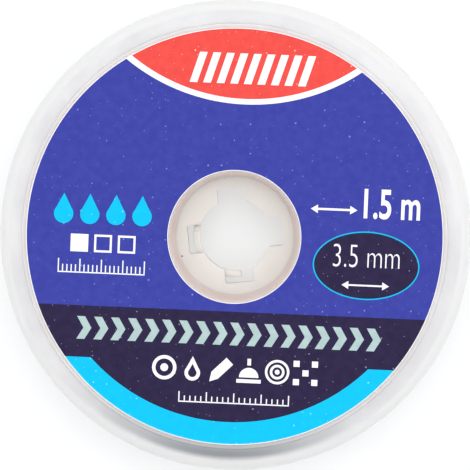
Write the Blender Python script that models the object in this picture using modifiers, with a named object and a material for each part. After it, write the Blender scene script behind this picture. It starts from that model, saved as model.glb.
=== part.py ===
"""A pocket spool of desoldering braid, lying on its back face.

Two moulded half shells meet at their hub floors and close over a flat copper braid wound on the hub.
A round paper label is stuck on the front face. The origin is on the floor under the spool's axis,
+Z is the spool's axis and points out of the labelled face, and +Y is the top of the label.
"""

import math

import bmesh
import bpy

MM = 0.001

# The braid
braid_width = 3.5 * MM
braid_length = 1500.0 * MM
braid_side_clearance = 0.4 * MM  # from each edge of the braid to the half shell beside it
core_clearance = 0.3 * MM  # from the core to the first turn
braid_slack = 1.1 * MM  # from the last turn to the skirt
turn_crown = 0.4 * MM  # how deep the groove between two turns is
turn_round = 0.3 * MM  # how wide the rounding of a turn's edge is

# The spool
spool_radius = 28.0 * MM
wall = 1.4 * MM
shoulder_radius = 2.5 * MM  # outside rounding between the face and the skirt
rim_slot = 1.6 * MM  # between the two skirts, where the braid is drawn out

# The raised disc that carries the label
disc_radius = 25.2 * MM
disc_step = 0.3 * MM

# The hub
hub_floor_radius = 7.1 * MM
hub_mouth_radius = 7.6 * MM  # larger than the floor, so that the half draws from its mould
hub_mouth_round = 0.3 * MM
hub_floor_thickness = 0.9 * MM
core_radius = 8.8 * MM  # the hub's outside, which the braid is wound on
halves_clearance = 0.1 * MM  # between the two hub floors

# The keyed spindle hole
hole_radius = 4.25 * MM
key_width = 3.4 * MM
key_reach = 5.65 * MM  # from the axis to the flat end of a keyway
key_count = 4
key_angle = 5.5  # degrees from the top of the label

# The lip left across two of the back half's keyways, round the spindle hole
lip_width = 0.8 * MM
lip_start = 158.0  # degrees from +X
lip_end = 279.0

# The label
label_inner_radius = 7.85 * MM
label_outer_radius = 24.7 * MM
label_thickness = 0.15 * MM
label_clearance = 0.02 * MM

# Facets
shell_steps = 64
roll_steps = 48
shoulder_steps = 6
inner_shoulder_steps = 3
mouth_steps = 2
lip_steps = 16
sharp_angle = 35.0  # degrees between two faces, above which their edge shows

inner_face = braid_width / 2 + braid_side_clearance
rim_face = inner_face + wall
middle = rim_face + disc_step
floor_top = halves_clearance / 2 + hub_floor_thickness
skirt_inner_radius = spool_radius - wall
shoulder_centre = (spool_radius - shoulder_radius, rim_face - shoulder_radius)


def clear_scene():
    for obj in list(bpy.data.objects):
        bpy.data.objects.remove(obj)


def new_collection(name):
    collection = bpy.data.collections.new(name)
    bpy.context.scene.collection.children.link(collection)
    return collection


def principled(name, colour, roughness, metallic=0.0, transmission=0.0):
    material = bpy.data.materials.new(name)
    material.use_nodes = True
    shader = material.node_tree.nodes["Principled BSDF"]
    shader.inputs["Base Color"].default_value = (*colour, 1.0)
    shader.inputs["Roughness"].default_value = roughness
    shader.inputs["Metallic"].default_value = metallic
    shader.inputs["Transmission Weight"].default_value = transmission
    return material


def evaluated_mesh(obj):
    """The mesh that an object's modifiers or its curve give, after which the object goes."""
    bpy.context.view_layer.update()
    mesh = bpy.data.meshes.new_from_object(obj.evaluated_get(bpy.context.evaluated_depsgraph_get()))
    bpy.data.objects.remove(obj)
    return mesh


def arc(centre, radius, start, end, steps):
    """Points (radius, height) round a centre, from one angle in degrees to another."""
    angles = [math.radians(start + (end - start) * i / steps) for i in range(steps + 1)]
    return [(centre[0] + radius * math.cos(a), centre[1] + radius * math.sin(a)) for a in angles]


def turned(name, profile, height, steps, material, collection):
    """A closed profile of (radius, height) points, turned round Z and set at a height.

    The profile runs outwards along its top and down its outer side, so the faces point out."""
    section = bpy.data.meshes.new(name + "_profile")
    points = [(radius, 0.0, z) for radius, z in profile]
    edges = [(i, (i + 1) % len(points)) for i in range(len(points))]
    section.from_pydata(points, edges, [])
    drawn = bpy.data.objects.new(name + "_profile", section)
    bpy.context.scene.collection.objects.link(drawn)
    screw = drawn.modifiers.new("turn", "SCREW")
    screw.axis = "Z"
    screw.angle = math.tau
    screw.steps = screw.render_steps = steps
    screw.use_merge_vertices = True
    screw.merge_threshold = 0.01 * MM
    mesh = evaluated_mesh(drawn)
    mesh.name = name
    mesh.materials.append(material)
    mesh.shade_smooth()
    mesh.set_sharp_from_angle(angle=math.radians(sharp_angle))
    obj = bpy.data.objects.new(name, mesh)
    obj.location.z = height
    collection.objects.link(obj)
    return obj


def half_shell_profile():
    """The front half, with heights from the middle plane between the halves."""
    mouth_centre = (hub_mouth_radius + hub_mouth_round, middle - hub_mouth_round)
    profile = [(hole_radius, floor_top), (hub_floor_radius, floor_top)]
    profile += arc(mouth_centre, hub_mouth_round, 180, 90, mouth_steps)
    profile += [(disc_radius, middle), (disc_radius, rim_face)]
    profile += arc(shoulder_centre, shoulder_radius, 90, 0, shoulder_steps)
    profile += [(spool_radius, rim_slot / 2), (skirt_inner_radius, rim_slot / 2)]
    profile += arc(shoulder_centre, shoulder_radius - wall, 0, 90, inner_shoulder_steps)
    profile += [(core_radius, inner_face), (core_radius, halves_clearance / 2)]
    profile += [(hole_radius, halves_clearance / 2)]
    return profile


def keyway_outline():
    """The keyways crossing at the axis, as the outline of a plus."""
    half = key_width / 2
    end_corner = math.hypot(key_reach, half)
    end_angle = math.degrees(math.atan2(half, key_reach))
    inner_corner = half / math.sin(math.pi / key_count)
    outline = []
    for key in range(key_count):
        turn = key_angle + 360 * key / key_count
        outline += arc((0, 0), inner_corner, turn - 180 / key_count, turn, 1)[:1]
        outline += arc((0, 0), end_corner, turn - end_angle, turn + end_angle, 1)
    return outline


def lip_outline():
    outer = arc((0, 0), hole_radius + lip_width, lip_start, lip_end, lip_steps)
    inner = arc((0, 0), hole_radius - lip_width, lip_end, lip_start, lip_steps)
    return outer + inner


def prism(name, outline, height, collection):
    """An outline drawn flat in the middle plane and extruded by a height to each side of it."""
    curve = bpy.data.curves.new(name, "CURVE")
    curve.dimensions = "2D"
    curve.fill_mode = "BOTH"
    curve.extrude = height
    spline = curve.splines.new("POLY")
    spline.points.add(len(outline) - 1)
    for point, (x, y) in zip(spline.points, outline):
        point.co = (x, y, 0.0, 1.0)
    spline.use_cyclic_u = True
    drawn = bpy.data.objects.new(name + "_outline", curve)
    bpy.context.scene.collection.objects.link(drawn)
    mesh = evaluated_mesh(drawn)
    shape = bmesh.new()
    shape.from_mesh(mesh)
    bmesh.ops.remove_doubles(shape, verts=shape.verts, dist=0.01 * MM)
    bmesh.ops.recalc_face_normals(shape, faces=shape.faces)
    shape.to_mesh(mesh)
    shape.free()
    cutter = bpy.data.objects.new(name, mesh)
    cutter.location.z = middle
    cutter.hide_render = True
    cutter.display_type = "WIRE"
    collection.objects.link(cutter)
    return cutter


def cut(obj, cutter):
    boolean = obj.modifiers.new(cutter.name, "BOOLEAN")
    boolean.operation = "DIFFERENCE"
    boolean.object = cutter


def mirrored(profile):
    """The same profile below the middle plane, still running outwards along its top."""
    return [(radius, -z) for radius, z in reversed(profile)]


def roll_profile():
    """The wound braid: one flat crown with rounded edges on each end for each turn."""
    inner = core_radius + core_clearance
    outer = skirt_inner_radius - braid_slack
    turns = round(braid_length / (math.pi * (inner + outer)))
    spacing = (outer - inner) / turns
    rounding = min(turn_round, spacing / 3)
    crown = braid_width / 2
    valley = crown - turn_crown
    top = []
    for turn in range(turns):
        start = inner + spacing * turn
        top += [(start, valley), (start + rounding, crown), (start + spacing - rounding, crown)]
    top.append((outer, valley))
    return top + [(radius, -z) for radius, z in reversed(top)]


def label_profile():
    low = middle + label_clearance
    high = low + label_thickness
    return [
        (label_inner_radius, high),
        (label_outer_radius, high),
        (label_outer_radius, low),
        (label_inner_radius, low),
    ]


def main():
    clear_scene()
    parts = new_collection("desoldering_braid_spool")
    cutters = new_collection("cutters")
    plastic = principled("frosted polypropylene", (0.86, 0.87, 0.87), 0.35, transmission=0.3)
    copper = principled("copper braid", (0.80, 0.42, 0.27), 0.35, metallic=1.0)
    paper = principled("coated label paper", (0.07, 0.09, 0.46), 0.4)

    front = turned("front_shell", half_shell_profile(), middle, shell_steps, plastic, parts)
    back = turned("back_shell", mirrored(half_shell_profile()), middle, shell_steps, plastic, parts)
    front_keyways = prism("front_keyways", keyway_outline(), 2 * middle, cutters)
    back_keyways = prism("back_keyways", keyway_outline(), 2 * middle, cutters)
    cut(back_keyways, prism("back_lip", lip_outline(), 3 * middle, cutters))
    cut(front, front_keyways)
    cut(back, back_keyways)
    turned("braid_roll", roll_profile(), middle, roll_steps, copper, parts)
    turned("label", label_profile(), middle, shell_steps, paper, parts)


main()
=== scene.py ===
"""The looks of a pocket spool of desoldering braid, lying on its back face with its label up.

Two milky half shells close over a flat copper braid. The label's colour fields are thin layers of ink
on white paper, and the signs printed on it are plain figures, arrows, rulers, icons and bars.
"""

import math

import bmesh
import bpy
from mathutils import Matrix, Vector


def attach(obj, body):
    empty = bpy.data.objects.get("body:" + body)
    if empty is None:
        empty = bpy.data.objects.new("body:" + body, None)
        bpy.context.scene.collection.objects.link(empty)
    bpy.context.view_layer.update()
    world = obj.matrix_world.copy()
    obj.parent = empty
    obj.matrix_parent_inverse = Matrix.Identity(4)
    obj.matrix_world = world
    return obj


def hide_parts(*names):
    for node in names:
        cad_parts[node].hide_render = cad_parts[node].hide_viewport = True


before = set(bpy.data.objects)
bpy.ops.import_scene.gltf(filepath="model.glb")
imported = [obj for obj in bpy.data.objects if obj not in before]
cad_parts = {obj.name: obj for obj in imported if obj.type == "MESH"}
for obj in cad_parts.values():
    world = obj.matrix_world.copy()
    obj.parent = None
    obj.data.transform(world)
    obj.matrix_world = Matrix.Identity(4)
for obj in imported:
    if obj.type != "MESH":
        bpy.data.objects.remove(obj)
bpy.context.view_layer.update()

MM = 0.001

# The spool's sizes, as in the part's source
spool_radius = 28.0 * MM
wall = 1.4 * MM
shoulder_radius = 2.5 * MM
rim_slot = 1.6 * MM
disc_radius = 25.2 * MM
disc_step = 0.3 * MM
hub_floor_radius = 7.1 * MM
hub_mouth_radius = 7.6 * MM
hub_mouth_round = 0.3 * MM
hub_floor_thickness = 0.9 * MM
core_radius = 8.8 * MM
halves_clearance = 0.1 * MM
hole_radius = 4.25 * MM
key_width = 3.4 * MM
key_reach = 5.65 * MM
key_count = 4
key_angle = 5.5  # degrees from the top of the label
lip_width = 0.8 * MM
lip_start = 158.0  # degrees from +X
lip_end = 279.0
braid_width = 3.5 * MM
braid_length = 1500.0 * MM
braid_side_clearance = 0.4 * MM
core_clearance = 0.3 * MM
braid_slack = 1.1 * MM
label_hole_radius = 7.85 * MM
label_radius = 24.7 * MM

inner_face = braid_width / 2 + braid_side_clearance
rim_face = inner_face + wall
middle = rim_face + disc_step
floor_top = halves_clearance / 2 + hub_floor_thickness
skirt_inner_radius = spool_radius - wall
roll_inner_radius = core_radius + core_clearance
roll_outer_radius = skirt_inner_radius - braid_slack
braid_turns = round(braid_length / (math.pi * (roll_inner_radius + roll_outer_radius)))
turn_spacing = (roll_outer_radius - roll_inner_radius) / braid_turns

# The mouldings' small roundings
hole_edge_round = 0.08 * MM
floor_corner_round = 0.25 * MM
disc_edge_round = 0.12 * MM
slot_outer_round = 0.2 * MM
slot_inner_round = 0.15 * MM
core_foot_round = 0.3 * MM
core_end_round = 0.15 * MM
floor_gap_round = 0.03 * MM
key_corner = 0.2 * MM

# Marks in the plastic, and what shows through it
gate_mark_place = (-4.64 * MM, 0.74 * MM)
gate_mark_radius = 0.38 * MM
gate_mark_height = 0.14 * MM
fleck = (-6.33 * MM, -2.49 * MM, middle + floor_top)  # a dark grain in the front half's hub floor
fleck_radius = 0.11 * MM
slack_shade_angle = 266.0  # degrees from +X, where the painted shade over the slack under the last turn is darkest
slack_shade_falloff = 8.0  # the power of the cosine with which the painted shade narrows round both sides
ring_depth = 0.13  # how much fainter the copper shows between two turns than over them

# The wound tape that stands for the inner turns
tape_width = 0.98 * braid_width  # so that the crests of its crimps stay within the braid's width
tape_gap = 0.05 * MM  # between two turns

# The label's paper, which takes the place of the label in the part's source with the ink on it
paper_clearance = 0.01 * MM
paper_thickness = 0.12 * MM
paper_bottom = 2 * middle + paper_clearance
paper_top = paper_bottom + paper_thickness

# The print, in millimetres from the label's centre, before it is turned with the label
ink_step = 0.012 * MM  # one layer of ink over another
print_radius = 24.6
print_hole_radius = 7.93
print_turn = math.radians(-2.3)
lens_turn = -1.0  # degrees, on top of the print's own turn
oval_x = 15.7
oval_y = -2.75
oval_half_width = 6.3
oval_half_height = 4.05
oval_line = 0.14
oval_lap = 0.05  # how far the line laps over the oval's dark ink
ruler_line = 0.14
ruler_gap = 0.02  # between the base line and the ticks
short_tick = 0.55  # of a long one

# Facets
turn_steps = 192
lip_steps = 24
label_steps = 256
label_hole_steps = 128
weld = 0.0005 * MM  # points nearer than this are one point

# The camera
camera_distance = 0.45
camera_lean = (0.04, 0.058, 1.0)
camera_target = (-0.07 * MM, 0.0, middle)
sensor_width = 36.0
picture_width = 470  # pixels
pixels_per_mm = 8.386


# Small helpers

def linear(colour):
    """An sRGB hex colour as linear red, green, blue and alpha."""
    parts = [int(colour[i:i + 2], 16) / 255 for i in (1, 3, 5)]
    return [c / 12.92 if c <= 0.04045 else ((c + 0.055) / 1.055) ** 2.4 for c in parts] + [1.0]


def add(tree, kind, inputs=None, **settings):
    """A node with its settings and inputs. An input is a value, a socket or a node with one output."""
    node = tree.nodes.new(kind)
    for name, value in settings.items():
        setattr(node, name, value)
    for name, value in (inputs or {}).items():
        if isinstance(value, bpy.types.Node):
            value = value.outputs[0]
        if isinstance(value, bpy.types.NodeSocket):
            tree.links.new(value, node.inputs[name])
        else:
            node.inputs[name].default_value = value
    return node


def new_material(name, **sockets):
    """A Principled material with the given sockets set, its tree and its shader."""
    material = bpy.data.materials.new(name)
    material.use_nodes = True
    shader = material.node_tree.nodes["Principled BSDF"]
    for socket, value in sockets.items():
        shader.inputs[socket.replace("_", " ")].default_value = value
    return material, material.node_tree, shader


def mottled(tree, size, low, high):
    """Soft patches of one hex colour in another, of a size in metres."""
    place = add(tree, "ShaderNodeTexCoord").outputs["Object"]
    patches = add(tree, "ShaderNodeTexNoise", {"Vector": place, "Scale": 1 / size, "Detail": 4.0})
    share = add(tree, "ShaderNodeMapRange", {
        "Value": patches.outputs["Fac"], "From Min": 0.35, "From Max": 0.65,
    })
    return add(tree, "ShaderNodeMix", {"Factor": share, 6: linear(low), 7: linear(high)},
               data_type="RGBA").outputs[2]


def grained(tree, size, depth, strength):
    """The normal of a fine random grain of a size and a depth in metres."""
    place = add(tree, "ShaderNodeTexCoord").outputs["Object"]
    grain = add(tree, "ShaderNodeTexNoise", {"Vector": place, "Scale": 1 / size, "Detail": 4.0})
    return add(tree, "ShaderNodeBump", {
        "Height": grain.outputs["Fac"], "Strength": strength, "Distance": depth,
    })


def scattered(tree, spacing, radius, share):
    """A mask of round dots in the print's plane: their spacing, radius and the share that is drawn."""
    place = add(tree, "ShaderNodeTexCoord").outputs["Object"]
    cells = add(tree, "ShaderNodeTexVoronoi", {"Vector": place, "Scale": 1 / spacing},
                voronoi_dimensions="2D")
    draw = add(tree, "ShaderNodeSeparateColor", {"Color": cells.outputs["Color"]})
    dot = add(tree, "ShaderNodeMath", {0: draw.outputs["Green"], 1: radius / spacing}, operation="MULTIPLY")
    near = add(tree, "ShaderNodeMath", {0: cells.outputs["Distance"], 1: dot}, operation="LESS_THAN")
    some = add(tree, "ShaderNodeMath", {0: draw.outputs["Red"], 1: share}, operation="LESS_THAN")
    return add(tree, "ShaderNodeMath", {0: near, 1: some}, operation="MULTIPLY")


def linked(name, data):
    """A new object in the scene, holding a mesh, a curve, a light or a camera."""
    obj = bpy.data.objects.new(name, data)
    bpy.context.scene.collection.objects.link(obj)
    return obj


def put(name, mesh, material, node, smooth_below=35):
    """A finished piece from a mesh: shaded smooth below an angle, given its material and declared."""
    mesh.name = name
    mesh.materials.clear()
    mesh.materials.append(material)
    mesh.polygons.foreach_set("material_index", [0] * len(mesh.polygons))
    mesh.shade_smooth()
    mesh.set_sharp_from_angle(angle=math.radians(smooth_below))
    piece = linked(name, mesh)
    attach(piece, "root")
    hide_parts(node)
    return piece


def evaluated_mesh(obj):
    """The mesh that an object's modifiers or curve give, after which the object goes."""
    bpy.context.view_layer.update()
    mesh = bpy.data.meshes.new_from_object(obj.evaluated_get(bpy.context.evaluated_depsgraph_get()))
    bpy.data.objects.remove(obj)
    return mesh


def mend(mesh):
    """Merge a mesh's doubled points and turn its faces outwards."""
    shape = bmesh.new()
    shape.from_mesh(mesh)
    bmesh.ops.remove_doubles(shape, verts=shape.verts, dist=weld)
    bmesh.ops.recalc_face_normals(shape, faces=shape.faces)
    shape.to_mesh(mesh)
    shape.free()


def arc(cx, cy, radius, start, end, steps):
    """Points round a centre, from one angle in degrees to another."""
    angles = [math.radians(start + (end - start) * i / steps) for i in range(steps + 1)]
    return [(cx + radius * math.cos(a), cy + radius * math.sin(a)) for a in angles]


# Materials

def copper_share(tree, radius, past_floor):
    """How much of the roll's copper shows through at a radius, from 0 to 1.

    It starts past the hub's floor, is a little fainter over the roll than over the core, and ends at the
    last turn. Faint rings follow the turns.
    """
    over_roll = add(tree, "ShaderNodeMapRange", {
        "Value": radius, "From Min": core_radius, "From Max": roll_inner_radius + 0.5 * MM,
        "To Min": 1.0, "To Max": 0.8,
    })
    short_of_edge = add(tree, "ShaderNodeMapRange", {
        "Value": radius, "From Min": roll_outer_radius - 1.0 * MM, "From Max": roll_outer_radius - 0.2 * MM,
        "To Min": 1.0, "To Max": 0.0,
    })
    turns = add(tree, "ShaderNodeMath", {0: radius, 1: math.tau / turn_spacing}, operation="MULTIPLY")
    wave = add(tree, "ShaderNodeMath", {0: turns}, operation="SINE")
    rings = add(tree, "ShaderNodeMath", {0: wave, 1: ring_depth, 2: 1 - ring_depth},
                operation="MULTIPLY_ADD")
    inner = add(tree, "ShaderNodeMath", {0: past_floor, 1: over_roll}, operation="MULTIPLY")
    whole = add(tree, "ShaderNodeMath", {0: inner, 1: short_of_edge}, operation="MULTIPLY")
    return add(tree, "ShaderNodeMath", {0: whole, 1: rings}, operation="MULTIPLY")


def mouth_share(tree, radius):
    """The rounded mouth of the hub's cup and the bare ring round it, from 0 to 1."""
    start = add(tree, "ShaderNodeMapRange", {
        "Value": radius, "From Min": hub_mouth_radius - 0.2 * MM, "From Max": hub_mouth_radius + 0.05 * MM,
    })
    end = add(tree, "ShaderNodeMapRange", {
        "Value": radius, "From Min": label_hole_radius, "From Max": core_radius,
        "To Min": 1.0, "To Max": 0.0,
    })
    return add(tree, "ShaderNodeMath", {0: start, 1: end}, operation="MULTIPLY")


def painted_slack_shade(tree, flat, radius):
    """Painted shade over the slack between the last turn and the skirt, darkest at one angle, from 0 to 1."""
    outwards = add(tree, "ShaderNodeVectorMath", {0: flat}, operation="NORMALIZE")
    # the side where the painted shade over the slack is darkest
    shade_direction = (math.cos(math.radians(slack_shade_angle)), math.sin(math.radians(slack_shade_angle)), 0.0)
    toward_shade = add(tree, "ShaderNodeVectorMath", {0: outwards, 1: shade_direction}, operation="DOT_PRODUCT")
    shade_side = add(tree, "ShaderNodeMath", {0: toward_shade.outputs["Value"], 1: 0.0}, operation="MAXIMUM")
    below = add(tree, "ShaderNodeMath", {0: shade_side, 1: slack_shade_falloff}, operation="POWER")
    past_roll = add(tree, "ShaderNodeMapRange", {
        "Value": radius, "From Min": label_radius - 0.6 * MM, "From Max": roll_outer_radius + 0.2 * MM,
    })
    short_of_skirt = add(tree, "ShaderNodeMapRange", {
        "Value": radius, "From Min": skirt_inner_radius - 0.5 * MM, "From Max": skirt_inner_radius + 0.1 * MM,
        "To Min": 1.0, "To Max": 0.0,
    })
    slack = add(tree, "ShaderNodeMath", {0: past_roll, 1: short_of_skirt}, operation="MULTIPLY")
    return add(tree, "ShaderNodeMath", {0: slack, 1: below}, operation="MULTIPLY")


def moulded_polypropylene():
    """Natural polypropylene, injection moulded.

    It is milky, with a satin skin and faint clouds, creamy where the two hub floors lie one behind the other,
    and painted whiter where the skirt is seen end on, as painted light for what scatters through its wall.
    What lies behind it shows through: the copper as a warm tint, and one dark grain. A grey arc of painted
    shade lies over the slack below the last turn.
    """
    material, tree, shader = new_material(
        "natural polypropylene, moulded", Roughness=0.28, IOR=1.49, Transmission_Weight=0.27,
        Subsurface_Weight=1.0, Subsurface_Scale=0.6 * MM, Subsurface_Radius=(1.0, 0.95, 0.9)
    )
    place = add(tree, "ShaderNodeTexCoord").outputs["Object"]
    flat = add(tree, "ShaderNodeVectorMath", {0: place, 1: (1.0, 1.0, 0.0)}, operation="MULTIPLY")
    radius = add(tree, "ShaderNodeVectorMath", {0: flat}, operation="LENGTH").outputs["Value"]
    past_floor = add(tree, "ShaderNodeMapRange", {
        "Value": radius, "From Min": hub_floor_radius - 0.3 * MM, "From Max": hub_floor_radius + 0.2 * MM,
    })
    # painted light: the skirt's wall, seen end on, is made whiter for the light scattered through it
    skirt = add(tree, "ShaderNodeMapRange", {
        "Value": radius, "From Min": skirt_inner_radius, "From Max": skirt_inner_radius + 0.4 * MM,
    })
    from_fleck = add(tree, "ShaderNodeVectorMath", {0: place, 1: fleck}, operation="DISTANCE")
    on_fleck = add(tree, "ShaderNodeMath", {0: from_fleck.outputs["Value"], 1: fleck_radius},
                   operation="LESS_THAN")

    colour = linear("#F3EFEA")
    for share, tone in (
        (past_floor, mottled(tree, 5 * MM, "#E8E8EA", "#F1F1F3")),
        (copper_share(tree, radius, past_floor), mottled(tree, 3 * MM, "#EAD7D0", "#F2E0DA")),
        (mouth_share(tree, radius), linear("#E9DAD6")),
        # painted shade: a grey arc over the slack, darkest at one angle
        (painted_slack_shade(tree, flat, radius), linear("#A2A6AB")),
        # painted light: whiter over the skirt
        (skirt, linear("#FAFBFC")),
        (on_fleck, linear("#7A6A5E")),
    ):
        mix = add(tree, "ShaderNodeMix", {"Factor": share, 6: colour, 7: tone}, data_type="RGBA")
        colour = mix.outputs[2]
    tree.links.new(colour, shader.inputs["Base Color"])
    skin = grained(tree, size=0.35 * MM, depth=0.01 * MM, strength=0.25)
    tree.links.new(skin.outputs["Normal"], shader.inputs["Normal"])
    return material


def bare_copper(wires):
    """Bare copper wire, drawn and braided flat: bright crowns, and duller where flux has dried.

    The wires of a strand are drawn thicker than they are, so that they show.
    """
    material, tree, shader = new_material("bare copper wire, braided", Roughness=0.34, Metallic=1.0)
    across = add(tree, "ShaderNodeAttribute", attribute_name="across").outputs["Fac"]
    turns = add(tree, "ShaderNodeMath", {0: across, 1: math.tau * wires}, operation="MULTIPLY")
    crown = add(tree, "ShaderNodeMath", {0: turns}, operation="SINE")
    bump = add(tree, "ShaderNodeBump", {"Height": crown, "Strength": 0.6, "Distance": 0.04 * MM})
    tree.links.new(mottled(tree, 1.5 * MM, "#C88458", "#F3BC96"), shader.inputs["Base Color"])
    tree.links.new(bump.outputs["Normal"], shader.inputs["Normal"])
    return material


def coated_paper():
    """Coated label paper: smooth and white, with a faint tooth of fibres."""
    material, tree, shader = new_material("coated label paper", Roughness=0.45)
    tree.links.new(mottled(tree, 0.6 * MM, "#F1F3F6", "#FCFCFD"), shader.inputs["Base Color"])
    return material


def printed_ink(name, low, high, speck):
    """Offset ink on coated paper: a nearly even field, with pinholes where dust kept the ink off."""
    material, tree, shader = new_material(
        name + " ink, offset printed", Roughness=0.5, Specular_IOR_Level=0.12
    )
    coarse = scattered(tree, spacing=1.7 * MM, radius=0.11 * MM, share=0.35)
    fine = scattered(tree, spacing=0.9 * MM, radius=0.06 * MM, share=0.35)
    dust = add(tree, "ShaderNodeMath", {0: coarse, 1: fine}, operation="MAXIMUM")
    field = mottled(tree, 0.9 * MM, low, high)
    dusty = add(tree, "ShaderNodeMix", {"Factor": dust, 6: field, 7: linear(speck)}, data_type="RGBA")
    tree.links.new(dusty.outputs[2], shader.inputs["Base Color"])
    return material


# The two half shells

def rounded_profile(corners, steps=4):
    """A closed outline with an arc at each corner, from (radius, height, rounding) corners."""
    outline = []
    count = len(corners)
    for i, (x, y, rounding) in enumerate(corners):
        here = Vector((x, y))
        before = Vector(corners[i - 1][:2]) - here
        after = Vector(corners[(i + 1) % count][:2]) - here
        half = before.angle(after) / 2
        reach = rounding / math.tan(half)
        start = here + before.normalized() * reach
        end = here + after.normalized() * reach
        centre = here + (before.normalized() + after.normalized()).normalized() * rounding / math.sin(half)
        sweep = (start - centre).angle_signed(end - centre)
        for k in range(steps + 1):
            outline.append(centre + (Matrix.Rotation(-sweep * k / steps, 2) @ (start - centre)))
    return [(p.x, p.y) for p in outline]


def keyway_outline():
    """The keyways crossing at the axis, as the outline of a plus."""
    half = key_width / 2
    corners = []
    for key in range(key_count):
        turn = Matrix.Rotation(math.radians(key_angle + 360 * key / key_count), 2)
        for x, y in ((half, -half), (key_reach, -half), (key_reach, half)):
            corner = turn @ Vector((x, y))
            corners.append((corner.x, corner.y, key_corner))
    return rounded_profile(corners)


def flat_solid(name, outlines, low, high):
    """Closed outlines filled, those inside others as holes, and raised to a flat solid."""
    curve = bpy.data.curves.new(name, "CURVE")
    curve.dimensions = "2D"
    curve.fill_mode = "BOTH"
    curve.extrude = (high - low) / 2
    for outline in outlines:
        spline = curve.splines.new("POLY")
        spline.points.add(len(outline) - 1)
        for point, (x, y) in zip(spline.points, outline):
            point.co = (x, y, 0.0, 1.0)
        spline.use_cyclic_u = True
    mesh = evaluated_mesh(linked(name, curve))
    mend(mesh)
    mesh.transform(Matrix.Translation((0, 0, (low + high) / 2)))
    return mesh


def shell_outline():
    """The front half's section as (radius, height) points, with heights from the middle plane."""
    return rounded_profile([
        (hole_radius, floor_top, hole_edge_round),
        (hub_floor_radius, floor_top, floor_corner_round),
        (hub_mouth_radius, middle, hub_mouth_round),
        (disc_radius, middle, disc_edge_round),
        (disc_radius, rim_face, disc_edge_round),
        (spool_radius, rim_face, shoulder_radius),
        (spool_radius, rim_slot / 2, slot_outer_round),
        (skirt_inner_radius, rim_slot / 2, slot_inner_round),
        (skirt_inner_radius, inner_face, shoulder_radius - wall),
        (core_radius, inner_face, core_foot_round),
        (core_radius, halves_clearance / 2, core_end_round),
        (hole_radius, halves_clearance / 2, floor_gap_round),
    ])


def turned_shell(name, side):
    """The section turned round Z: on side 1 it stands over the middle plane, on side -1 it hangs below."""
    outline = shell_outline()
    section = bpy.data.meshes.new(name)
    edges = [(i, (i + 1) % len(outline)) for i in range(len(outline))]
    section.from_pydata([(r, 0.0, middle + side * z) for r, z in outline], edges, [])
    drawn = linked(name, section)
    screw = drawn.modifiers.new("turn", "SCREW")
    screw.axis = "Z"
    screw.angle = math.tau
    screw.steps = screw.render_steps = turn_steps
    screw.use_merge_vertices = True
    screw.merge_threshold = weld
    mesh = evaluated_mesh(drawn)
    mend(mesh)
    return linked(name, mesh)


def lip_ring():
    """The arc of floor that stays across two of the back half's keyways."""
    outer = arc(0, 0, hole_radius + lip_width, lip_start, lip_end, lip_steps)
    inner = arc(0, 0, hole_radius - lip_width, lip_end, lip_start, lip_steps)
    return linked("lip", flat_solid("lip", [outer + inner], -2 * middle, 4 * middle))


def gate_mark():
    """The low round pip on the lip where the melt entered the mould."""
    mesh = bpy.data.meshes.new("gate_mark")
    shape = bmesh.new()
    bmesh.ops.create_uvsphere(shape, u_segments=24, v_segments=12, radius=1.0)
    shape.to_mesh(mesh)
    shape.free()
    lip_top = middle - halves_clearance / 2
    size = Matrix.Diagonal((gate_mark_radius, gate_mark_radius, gate_mark_height, 1.0))
    mesh.transform(Matrix.Translation((*gate_mark_place, lip_top)) @ size)
    return linked("gate_mark", mesh)


def combine(obj, operation, other):
    """A cut or a union, which stays a modifier until the mesh is taken."""
    boolean = obj.modifiers.new(other.name, "BOOLEAN")
    boolean.operation = operation
    boolean.object = other


def half_shell(name, node, side, lip, material):
    """One moulded half, with its keyed spindle hole cut through the hub floor."""
    shell = turned_shell(name, side)
    keyways = linked("keyways", flat_solid("keyways", [keyway_outline()], -middle, 3 * middle))
    combine(shell, "DIFFERENCE", keyways)
    helpers = [keyways]
    if lip:
        ring, mark = lip_ring(), gate_mark()
        combine(keyways, "DIFFERENCE", ring)
        combine(shell, "UNION", mark)
        helpers += [ring, mark]
    mesh = evaluated_mesh(shell)
    for helper in helpers:
        bpy.data.objects.remove(helper)
    return put(name, mesh, material, node)


# The braid

def new_tree(name, sizes):
    """An empty tree with named inputs, and the node that gives them."""
    tree = bpy.data.node_groups.new(name, "GeometryNodeTree")
    for label, value in sizes.items():
        kind = "NodeSocketInt" if isinstance(value, int) else "NodeSocketFloat"
        tree.interface.new_socket(label, in_out="INPUT", socket_type=kind).default_value = value
    tree.interface.new_socket("Geometry", in_out="OUTPUT", socket_type="NodeSocketGeometry")
    return tree, add(tree, "NodeGroupInput").outputs


def grown(name, tree, material):
    """What a tree makes, as a plain mesh piece."""
    holder = linked(name, bpy.data.meshes.new(name))
    holder.modifiers.new("tree", "NODES").node_group = tree
    return put(name, evaluated_mesh(holder), material, "braid_roll", smooth_below=60)


def finish_tree(tree, geometry, material):
    """Close a tree: its copies made real, in their material."""
    whole = add(tree, "GeometryNodeRealizeInstances", {"Geometry": geometry})
    dressed = add(tree, "GeometryNodeSetMaterial", {"Geometry": whole, "Material": material})
    add(tree, "NodeGroupOutput", {"Geometry": dressed})


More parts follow.
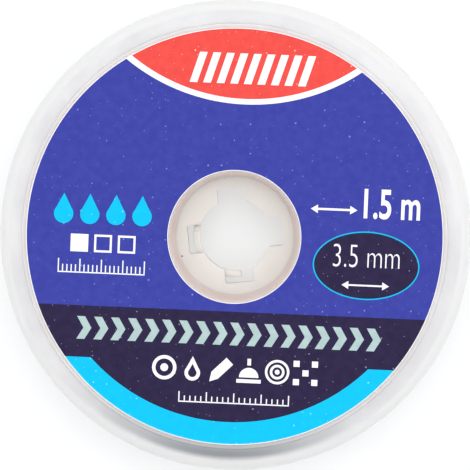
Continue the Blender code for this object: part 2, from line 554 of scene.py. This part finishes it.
def strands(name, sizes, material):
    """A spiral of flattened tubular braid: strands that cross two over and two under.

    Each strand is a copy of the spiral. Its phase round the flat tube grows along the spiral, forwards in
    every second copy and backwards in the others. The phase gives its height between the braid's edges,
    the face that it runs on, and the ripple with which it passes over and under.
    """
    tree, size = new_tree(name, sizes)
    spiral = add(tree, "GeometryNodeCurveSpiral", {
        "Resolution": size["Points a turn"], "Rotations": size["Turns"], "Height": 0.0,
        "Start Radius": size["Start radius"], "End Radius": size["End radius"],
    })
    each_way = size["Strands each way"]
    amount = add(tree, "ShaderNodeMath", {0: each_way, 1: 2.0}, operation="MULTIPLY")
    copies = add(tree, "GeometryNodeDuplicateElements", {"Geometry": spiral, "Amount": amount},
                 domain="SPLINE")
    index = copies.outputs["Duplicate Index"]
    second = add(tree, "ShaderNodeMath", {0: index, 1: 2.0}, operation="MODULO")
    way = add(tree, "ShaderNodeMath", {0: second, 1: 2.0, 2: -1.0}, operation="MULTIPLY_ADD")
    half = add(tree, "ShaderNodeMath", {0: index, 1: 2.0}, operation="DIVIDE")
    number = add(tree, "ShaderNodeMath", {0: half}, operation="FLOOR")
    offset = add(tree, "ShaderNodeMath", {0: number, 1: each_way}, operation="DIVIDE")
    length = add(tree, "GeometryNodeSplineParameter").outputs["Length"]
    lays = add(tree, "ShaderNodeMath", {0: length, 1: size["Lay"]}, operation="DIVIDE")
    phase = add(tree, "ShaderNodeMath", {0: lays, 1: way, 2: offset}, operation="MULTIPLY_ADD")

    crossings = add(tree, "ShaderNodeMath", {0: phase, 1: 2.0}, operation="MULTIPLY")
    zigzag = add(tree, "ShaderNodeMath", {0: crossings, 1: 1.0}, operation="PINGPONG")
    centred = add(tree, "ShaderNodeMath", {0: zigzag, 1: 0.5}, operation="SUBTRACT")
    spread = add(tree, "ShaderNodeMath", {0: size["Width"], 1: size["Strand width"]}, operation="SUBTRACT")
    height = add(tree, "ShaderNodeMath", {0: centred, 1: spread, 2: size["Middle height"]},
                 operation="MULTIPLY_ADD")

    turn = add(tree, "ShaderNodeMath", {0: phase, 1: math.tau}, operation="MULTIPLY")
    side = add(tree, "ShaderNodeMath", {0: turn}, operation="SINE")
    steep = add(tree, "ShaderNodeMath", {0: side, 1: size["Fold steepness"]}, operation="MULTIPLY")
    face = add(tree, "ShaderNodeClamp", {"Value": steep, "Min": -1.0, "Max": 1.0})
    face_out = add(tree, "ShaderNodeMath", {0: face, 1: size["Face offset"]}, operation="MULTIPLY")
    passes = add(tree, "ShaderNodeMath", {0: each_way, 1: math.pi}, operation="MULTIPLY")
    weave = add(tree, "ShaderNodeMath", {0: phase, 1: passes}, operation="MULTIPLY")
    wave = add(tree, "ShaderNodeMath", {0: weave}, operation="COSINE")
    ripple = add(tree, "ShaderNodeMath", {0: wave, 1: way}, operation="MULTIPLY")
    out = add(tree, "ShaderNodeMath", {0: ripple, 1: size["Ripple"], 2: face_out},
              operation="MULTIPLY_ADD")

    position = add(tree, "GeometryNodeInputPosition")
    radial = add(tree, "ShaderNodeVectorMath", {0: position}, operation="NORMALIZE")
    push = add(tree, "ShaderNodeVectorMath", {0: radial, "Scale": out}, operation="SCALE")
    lift = add(tree, "ShaderNodeCombineXYZ", {"Z": height})
    shift = add(tree, "ShaderNodeVectorMath", {0: push, 1: lift}, operation="ADD")
    laid = add(tree, "GeometryNodeSetPosition", {"Geometry": copies, "Offset": shift})
    level = add(tree, "GeometryNodeSetCurveNormal", {"Curve": laid}, mode="Z_UP")
    ribbon = add(tree, "GeometryNodeCurvePrimitiveQuadrilateral",
                 {"Width": size["Strand thickness"], "Height": size["Strand width"]})
    eased = add(tree, "GeometryNodeFilletCurve", {
        "Curve": ribbon, "Radius": size["Edge rounding"], "Count": 1, "Limit Radius": True,
    }, mode="POLY")
    across = add(tree, "GeometryNodeSplineParameter").outputs["Factor"]
    marked = add(tree, "GeometryNodeStoreNamedAttribute",
                 {"Geometry": eased, "Name": "across", "Value": across}, data_type="FLOAT", domain="POINT")
    swept = add(tree, "GeometryNodeCurveToMesh", {
        "Curve": level, "Profile Curve": marked, "Fill Caps": True,
    })
    finish_tree(tree, swept, material)
    return grown(name, tree, material)


def wound_tape(name, sizes, material):
    """The inner turns: a flat tape with the crimp of its strands along both edges."""
    tree, size = new_tree(name, sizes)
    spiral = add(tree, "GeometryNodeCurveSpiral", {
        "Resolution": size["Points a turn"], "Rotations": size["Turns"], "Height": 0.0,
        "Start Radius": size["Start radius"], "End Radius": size["End radius"],
    })
    length = add(tree, "GeometryNodeSplineParameter").outputs["Length"]
    marked = add(tree, "GeometryNodeStoreNamedAttribute",
                 {"Geometry": spiral, "Name": "along", "Value": length}, data_type="FLOAT", domain="POINT")
    level = add(tree, "GeometryNodeSetCurveNormal", {"Curve": marked}, mode="Z_UP")
    tape = add(tree, "GeometryNodeCurvePrimitiveQuadrilateral",
               {"Width": size["Thickness"], "Height": size["Width"]})
    eased = add(tree, "GeometryNodeFilletCurve", {
        "Curve": tape, "Radius": size["Edge rounding"], "Count": 2, "Limit Radius": True,
    }, mode="POLY")
    swept = add(tree, "GeometryNodeCurveToMesh", {
        "Curve": level, "Profile Curve": eased, "Fill Caps": True,
    })
    along = add(tree, "GeometryNodeInputNamedAttribute", {"Name": "along"}, data_type="FLOAT").outputs[0]
    crimps = add(tree, "ShaderNodeMath", {0: along, 1: size["Crimp"]}, operation="DIVIDE")
    turn = add(tree, "ShaderNodeMath", {0: crimps, 1: math.tau}, operation="MULTIPLY")
    beat = add(tree, "ShaderNodeMath", {0: turn}, operation="SINE")
    squeeze = add(tree, "ShaderNodeMath", {0: beat, 1: size["Crimp depth"], 2: 1.0},
                  operation="MULTIPLY_ADD")
    position = add(tree, "GeometryNodeInputPosition")
    split = add(tree, "ShaderNodeSeparateXYZ", {"Vector": position}).outputs
    height = add(tree, "ShaderNodeMath", {0: split["Z"], 1: squeeze, 2: size["Middle height"]},
                 operation="MULTIPLY_ADD")
    moved = add(tree, "ShaderNodeCombineXYZ", {"X": split["X"], "Y": split["Y"], "Z": height})
    crimped = add(tree, "GeometryNodeSetPosition", {"Geometry": swept, "Position": moved})
    finish_tree(tree, crimped, material)
    return grown(name, tree, material)


def wind_braid(material):
    """The braid wound on the hub: its last turn strand by strand, the turns under it as a tape."""
    first = roll_inner_radius + turn_spacing / 2
    last = roll_outer_radius - turn_spacing / 2
    wound_tape("braid_inner_turns", {
        "Points a turn": 420, "Turns": float(braid_turns - 2),
        "Start radius": first, "End radius": last - turn_spacing,
        "Width": tape_width, "Thickness": turn_spacing - tape_gap, "Edge rounding": 0.32 * MM,
        "Crimp": 1.25 * MM, "Crimp depth": 0.018, "Middle height": middle,
    }, material)
    strands("braid_outer_turn", {
        "Points a turn": 360, "Turns": 1.0, "Start radius": last - turn_spacing, "End radius": last,
        "Width": braid_width, "Lay": 10.0 * MM, "Strands each way": 8, "Strand width": 0.62 * MM,
        "Strand thickness": 0.16 * MM, "Edge rounding": 0.07 * MM, "Face offset": 0.3 * MM,
        "Fold steepness": 2.5, "Ripple": 0.1 * MM, "Middle height": middle,
    }, material)


# The label

def circle(x, y, radius, steps=48):
    return arc(x, y, radius, 0, 360, steps)[:-1]


def ellipse(x, y, across, up, steps=96):
    """An ellipse from half its width and half its height."""
    return [(x + across * math.cos(math.tau * i / steps), y + up * math.sin(math.tau * i / steps))
            for i in range(steps)]


def box(x, y, wide, high):
    return slanted(x, y, wide, high, 0.0)


def slanted(x, y, wide, high, lean):
    """A bar that leans to the right by a length from its foot to its head."""
    w, h, s = wide / 2, high / 2, lean / 2
    return [(x - w - s, y - h), (x + w - s, y - h), (x + w + s, y + h), (x - w + s, y + h)]


def hatch(x, y, count, pitch, wide, high, lean):
    """A row of bars that lean to the right."""
    start = x - pitch * (count - 1) / 2
    return [slanted(start + pitch * i, y, wide, high, lean) for i in range(count)]


def drop(x, y, high):
    """A drop of flux, its point up."""
    radius = high * 0.32
    centre = y - high / 2 + radius
    return arc(x, centre, radius, 140, 400, 24) + [(x, y + high / 2)]


def drop_row(x, y, count, pitch, high):
    """Drops in a row, from the first one's place."""
    return [drop(x + pitch * i, y, high) for i in range(count)]


def square_row(x, y, count, pitch, side, line):
    """Squares in a row, from the first one's place: the first is full and the others are outlined."""
    squares = [box(x + pitch * i, y, side, side) for i in range(count)]
    hollows = [box(x + pitch * i, y, side - 2 * line, side - 2 * line) for i in range(1, count)]
    return squares + hollows


def ruler(x, y, wide, marks, tall):
    """A scale of ticks over a base line, each fifth tick a long one."""
    foot = y - tall / 2
    shapes = [box(x, foot, wide + ruler_line, ruler_line)]
    for i in range(marks + 1):
        high = tall if i % 5 == 0 else tall * short_tick
        tick_y = foot + ruler_line / 2 + ruler_gap + high / 2
        shapes.append(box(x - wide / 2 + wide * i / marks, tick_y, ruler_line, high))
    return shapes


def double_arrow(x, y, wide, head, bar):
    """An arrow with a head at each end."""
    right, half, barb = wide / 2, bar / 2, head * 0.6
    shaft = right - head
    return [
        (x - right, y), (x - shaft, y - barb), (x - shaft, y - half), (x + shaft, y - half),
        (x + shaft, y - barb), (x + right, y), (x + shaft, y + barb), (x + shaft, y + half),
        (x - shaft, y + half), (x - shaft, y + barb),
    ]


def chevrons(x, y, count, pitch, wide, high, point):
    """A row of chevrons that point to the right."""
    start = x - pitch * (count - 1) / 2
    rows = []
    for i in range(count):
        left = start + pitch * i - (wide + point) / 2
        rows.append([
            (left, y - high / 2), (left + wide, y - high / 2), (left + wide + point, y),
            (left + wide, y + high / 2), (left, y + high / 2), (left + point, y),
        ])
    return rows


def spool_icon(x, y, r):
    """A ring with a dot in it."""
    return [circle(x, y, r), circle(x, y, r * 0.72), circle(x, y, r * 0.32)]


def drop_icon(x, y, r):
    """A drop with a smaller one left out of it."""
    return [drop(x, y, 2 * r), drop(x, y - r * 0.16, r * 1.1)]


def iron_icon(x, y, r):
    """An iron's chisel tip."""
    return [[(x - r * 0.9, y - r), (x - r * 0.2, y - r * 0.75), (x + r, y + r * 0.45),
             (x + r * 0.45, y + r), (x - r * 0.75, y - r * 0.2)]]


def joint_icon(x, y, r):
    """A domed joint on its pad, with the wire's end over it."""
    return [arc(x, y - r * 0.55, r * 0.8, 0, 180, 24), box(x, y - r * 0.85, 2 * r, r * 0.3),
            box(x, y + r * 0.72, r * 0.3, r * 0.55)]


def coil_icon(x, y, r):
    """Rings one in another."""
    return [circle(x, y, r * share) for share in (1.0, 0.8, 0.6, 0.4, 0.2)]


def weave_icon(x, y, r):
    """The corners and the centre of three by three squares."""
    places = (-0.75, 0, 0.75)
    return [box(x + r * dx, y + r * dy, r * 0.5, r * 0.5)
            for dx in places for dy in places if (dx == 0) == (dy == 0)]


def icons(x, y, pitch, size):
    """Six bench icons in a row: a spool, a drop, an iron's tip, a joint, a coil and a weave."""
    drawings = (spool_icon, drop_icon, iron_icon, joint_icon, coil_icon, weave_icon)
    start = x - pitch * (len(drawings) - 1) / 2
    shapes = []
    for i, drawing in enumerate(drawings):
        shapes += drawing(start + pitch * i, y, size / 2)
    return shapes


def chord_arc(half_chord, chord_y, bottom_y, steps=64):
    """The lower arc of a circle through both ends of a chord and a lowest point on the axis."""
    sagitta = chord_y - bottom_y
    radius = (half_chord ** 2 + sagitta ** 2) / (2 * sagitta)
    reach = math.degrees(math.asin(half_chord / radius))
    return arc(0, bottom_y + radius, radius, 270 + reach, 270 - reach, steps)


def lens(half_angle, bottom_y):
    """The field between the print's upper edge and an arc that sags below it."""
    top = arc(0, 0, print_radius, 90 + half_angle, 90 - half_angle, 64)
    low = chord_arc(print_radius * math.sin(math.radians(half_angle)),
                    print_radius * math.cos(math.radians(half_angle)), bottom_y)
    turn = Matrix.Rotation(math.radians(lens_turn), 2)
    return [tuple(turn @ Vector(point)) for point in top + low[1:-1]]


def lower_band(chord_y):
    """The field below a chord."""
    reach = math.degrees(math.acos(chord_y / print_radius))
    return arc(0, 0, print_radius, 90 + reach, 450 - reach, 96)


def crescent(chord_y, half_chord, bottom_y):
    """The field between the print's lower edge and an arc that hangs from a chord."""
    reach = math.degrees(math.asin(-chord_y / print_radius))
    outer = arc(0, 0, print_radius, 180 + reach, 360 - reach, 72)
    return outer + chord_arc(half_chord, chord_y, bottom_y)


def oval(inset):
    """The oval behind the braid's width, drawn in by a length."""
    return ellipse(oval_x, oval_y, oval_half_width - inset, oval_half_height - inset)


def figures(text, x, y, high, narrow, weight):
    """Plain figures as a flat curve's mesh, centred on a point of the label and made narrower."""
    curve = bpy.data.curves.new("figures", "FONT")
    curve.body = text
    curve.align_x = "CENTER"
    curve.align_y = "CENTER"
    curve.size = high
    curve.offset = weight
    curve.fill_mode = "BOTH"
    curve.extrude = ink_step / MM / 2
    mesh = evaluated_mesh(linked("figures", curve))
    mesh.transform(Matrix.Translation((x, y, 0)) @ Matrix.Diagonal((narrow, 1.0, 1.0, 1.0)))
    return mesh


def ink_field(name, outlines, layer, material, letters=()):
    """One colour of the print, as a thin layer over the ones printed before it."""
    half_step = ink_step / MM / 2
    shape = bmesh.new()
    for mesh in [flat_solid(name, outlines, -half_step, half_step), *letters]:
        shape.from_mesh(mesh)
    mesh = bpy.data.meshes.new(name)
    shape.to_mesh(mesh)
    shape.free()
    layer_middle = paper_top + ink_step * (layer - 0.5)
    place = Matrix.Translation((0, 0, layer_middle)) @ Matrix.Rotation(print_turn, 4, "Z")
    mesh.transform(place @ Matrix.Scale(MM, 4))
    mend(mesh)
    return put(name, mesh, material, "label")


def white_signs():
    """The outlines of what is printed in white: the bars, the rulers, the arrows and the icons."""
    bars = hatch(x=1.4, y=19.9, count=9, pitch=1.6, wide=0.9, high=3.6, lean=1.1)
    squares = square_row(x=-18.3, y=-1.45, count=3, pitch=2.8, side=2.1, line=0.25)
    left_ruler = ruler(x=-15.6, y=-4.2, wide=10.2, marks=20, tall=1.5)
    length_arrow = double_arrow(x=11.65, y=3.75, wide=5.5, head=0.85, bar=0.26)
    width_arrow = double_arrow(x=oval_x, y=-5.1, wide=5.6, head=0.8, bar=0.2)
    bench_icons = icons(x=0.7, y=-15.8, pitch=3.35, size=2.9)
    low_ruler = ruler(x=0.7, y=-19.2, wide=13.0, marks=20, tall=1.1)
    return bars + squares + left_ruler + [length_arrow, width_arrow] + bench_icons + low_ruler


def print_label(paper):
    """The paper, and over it six colours of ink in four layers."""
    outlines = [circle(0, 0, label_radius, label_steps), circle(0, 0, label_hole_radius, label_hole_steps)]
    sheet = flat_solid("label_paper", outlines, paper_bottom, paper_top)
    put("label_paper", sheet, paper, "label")

    blue = printed_ink("blue", "#343B98", "#3A419D", "#7780CA")
    red = printed_ink("red", "#DE4842", "#E44E47", "#F6A79D")
    dark = printed_ink("ink black", "#241C3D", "#2A2244", "#7F7A96")
    cyan = printed_ink("cyan", "#00B8E6", "#00BDEA", "#86DFF5")
    grey = printed_ink("grey green", "#A4BBBB", "#AEC5C4", "#D8E4E4")
    white = printed_ink("white", "#EBEDF2", "#F2F3F6", "#D5D5E4")

    ground = [circle(0, 0, print_radius, label_steps), circle(0, 0, print_hole_radius, label_hole_steps)]
    drops = drop_row(x=-20.3, y=2.6, count=4, pitch=3.1, high=3.6)
    foot = crescent(chord_y=-15.0, half_chord=16.45, bottom_y=-22.0)
    arrows = chevrons(x=-0.2, y=-11.5, count=18, pitch=2.02, wide=0.95, high=2.7, point=0.8)
    length = figures("1.5 m", x=18.25, y=4.4, high=4.85, narrow=0.67, weight=0.09)
    width = figures("3.5 mm", x=oval_x, y=-1.8, high=4.0, narrow=0.68, weight=-0.06)

    ink_field("print_blue", ground, 1, blue)
    ink_field("print_white_lens", [lens(half_angle=34.5, bottom_y=15.7)], 2, white)
    ink_field("print_dark", [lower_band(chord_y=-8.87), oval(oval_lap)], 2, dark)
    ink_field("print_red", [lens(half_angle=32.7, bottom_y=16.35)], 3, red)
    ink_field("print_cyan", [foot, oval(0.0), oval(oval_line), *drops], 3, cyan)
    ink_field("print_grey", arrows, 3, grey)
    ink_field("print_white", white_signs(), 4, white, [length, width])


# The studio

def softbox(name, place, size, watts):
    """A square area light that faces the spool."""
    data = bpy.data.lights.new(name, "AREA")
    data.size = size
    data.energy = watts
    light = linked(name, data)
    light.location = place
    light.rotation_euler = (-Vector(place)).to_track_quat("-Z", "Y").to_euler()


def opal_acrylic():
    """Opal acrylic, cast, over lamps: it glows evenly, so the spool's shadow on it is faint."""
    return new_material(
        "opal acrylic light table, cast", Roughness=0.8, Base_Color=linear("#BBBDBE"),
        Emission_Color=linear("#FFFFFF"), Emission_Strength=0.43
    )[0]


def light_table(half_side, clearance):
    """The sheet that the spool lies on, a clearance below it."""
    mesh = bpy.data.meshes.new("floor")
    shape = bmesh.new()
    bmesh.ops.create_grid(shape, x_segments=1, y_segments=1, size=half_side)
    shape.to_mesh(mesh)
    shape.free()
    mesh.transform(Matrix.Translation((0, 0, -clearance)))
    mesh.materials.append(opal_acrylic())
    linked("floor", mesh)


def studio():
    """A pale room, three softboxes and a light table."""
    scene = bpy.context.scene
    scene.view_settings.view_transform = "Standard"
    world = bpy.data.worlds.new("pale room")
    world.use_nodes = True
    background = world.node_tree.nodes["Background"]
    background.inputs["Color"].default_value = linear("#FFFFFF")
    background.inputs["Strength"].default_value = 1.0
    scene.world = world
    softbox("key_softbox", place=(0.06, 0.3, 0.65), size=0.5, watts=1.2)
    softbox("left_softbox", place=(-0.55, 0.12, 0.4), size=0.3, watts=0.3)
    softbox("right_softbox", place=(0.55, 0.12, 0.4), size=0.3, watts=0.5)
    light_table(half_side=1.5, clearance=0.05 * MM)


def set_camera():
    """Almost straight above the label, a little towards its upper right."""
    data = bpy.data.cameras.new("camera")
    data.sensor_width = sensor_width
    data.lens = sensor_width * pixels_per_mm / picture_width * camera_distance / MM
    data.clip_start = 0.01
    camera = linked("camera", data)
    back = Vector(camera_lean).normalized()
    right = Vector((0, 1, 0)).cross(back).normalized()
    turn = Matrix((right, back.cross(right), back)).transposed().to_4x4()
    camera.matrix_world = Matrix.Translation(Vector(camera_target) + back * camera_distance) @ turn
    bpy.context.scene.camera = camera


def main():
    plastic = moulded_polypropylene()
    half_shell("moulded_front_shell", "front_shell", side=1, lip=False, material=plastic)
    half_shell("moulded_back_shell", "back_shell", side=-1, lip=True, material=plastic)
    wind_braid(bare_copper(wires=5))
    print_label(coated_paper())
    studio()
    set_camera()


main()
